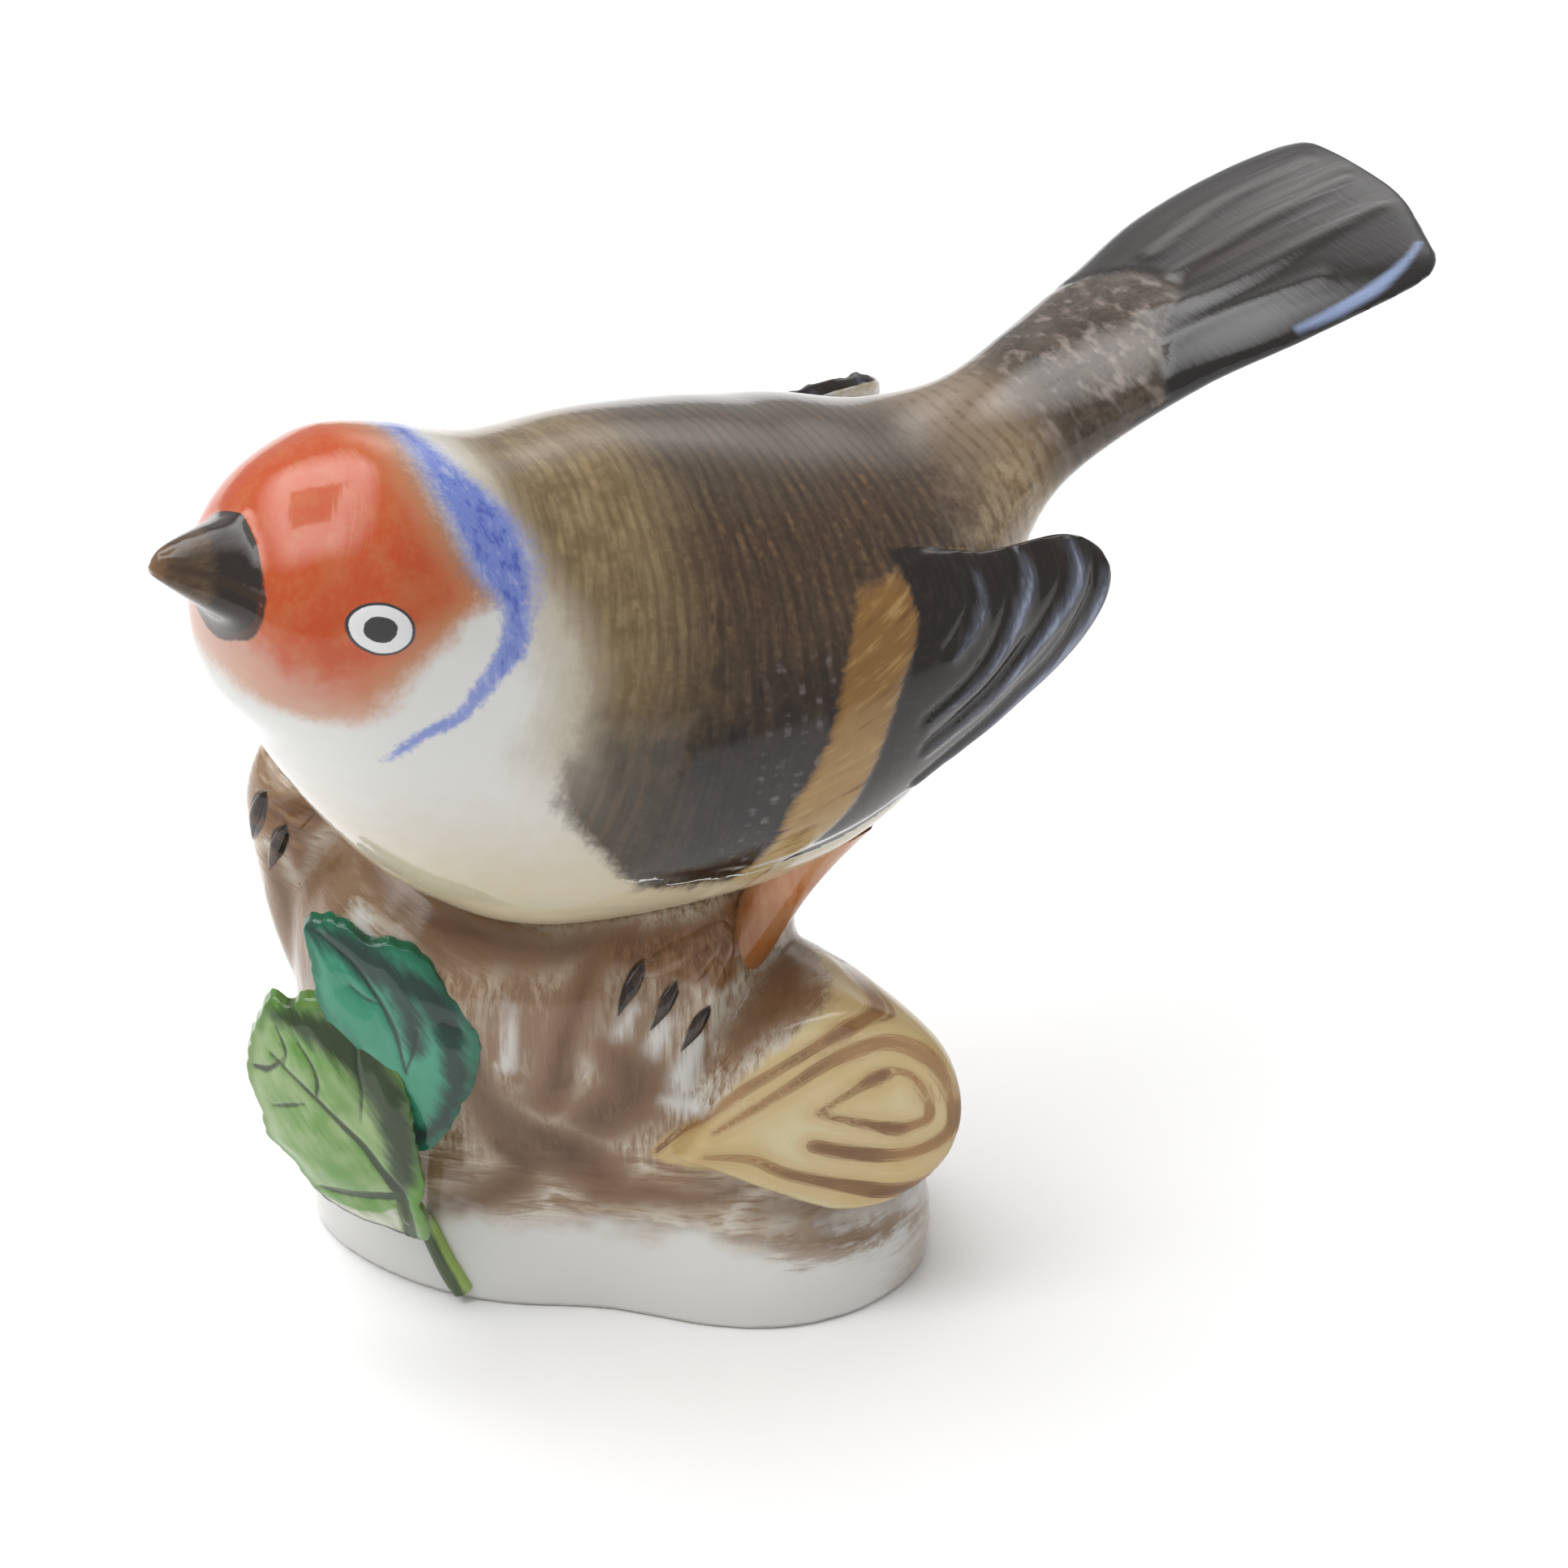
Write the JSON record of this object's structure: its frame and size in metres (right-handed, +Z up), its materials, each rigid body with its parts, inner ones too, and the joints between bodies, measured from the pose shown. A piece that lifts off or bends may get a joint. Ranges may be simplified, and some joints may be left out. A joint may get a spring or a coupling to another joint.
{
  "type": "porcelain bird figurine",
  "caption": "Glazed porcelain songbird with a raised tail, perched on a sawn tree stump with leaves, a free-standing shelf ornament.",
  "frame": {"origin": "on the flat ground underside of the stump, in the bird's plane of symmetry", "axes": "+Z up, -X the way the beak points, -Y the bird's left side"},
  "size_m": [0.1048, 0.0453, 0.0756],
  "materials": {
    "stump": "gloss glaze over brown brush washes",
    "side_log": "gloss glaze over painted growth rings",
    "perch_branch": "gloss glaze over brown brush washes",
    "body": "gloss glaze over painted plumage",
    "head": "gloss glaze over painted plumage",
    "beak": "gloss glaze over brown enamel",
    "tail": "gloss glaze over dark enamel",
    "wing": "gloss glaze over dark enamel",
    "leg": "gloss glaze over orange enamel",
    "foot": "gloss glaze over orange brown enamel",
    "light_leaf": "gloss glaze over light green enamel",
    "dark_leaf": "gloss glaze over dark green enamel",
    "twig": "gloss glaze over green enamel"
  },
  "bodies": {
    "root": {"stump": "stump", "side_log": "side_log", "perch_branch": "perch_branch", "body": "body", "head": "head", "beak": "beak", "tail": "tail", "left_wing": "wing", "right_wing": "wing", "left_leg": "leg", "right_leg": "leg", "left_foot": "foot", "right_foot": "foot", "light_leaf": "light_leaf", "dark_leaf": "dark_leaf", "twig": "twig"}
  },
  "joints": []
}
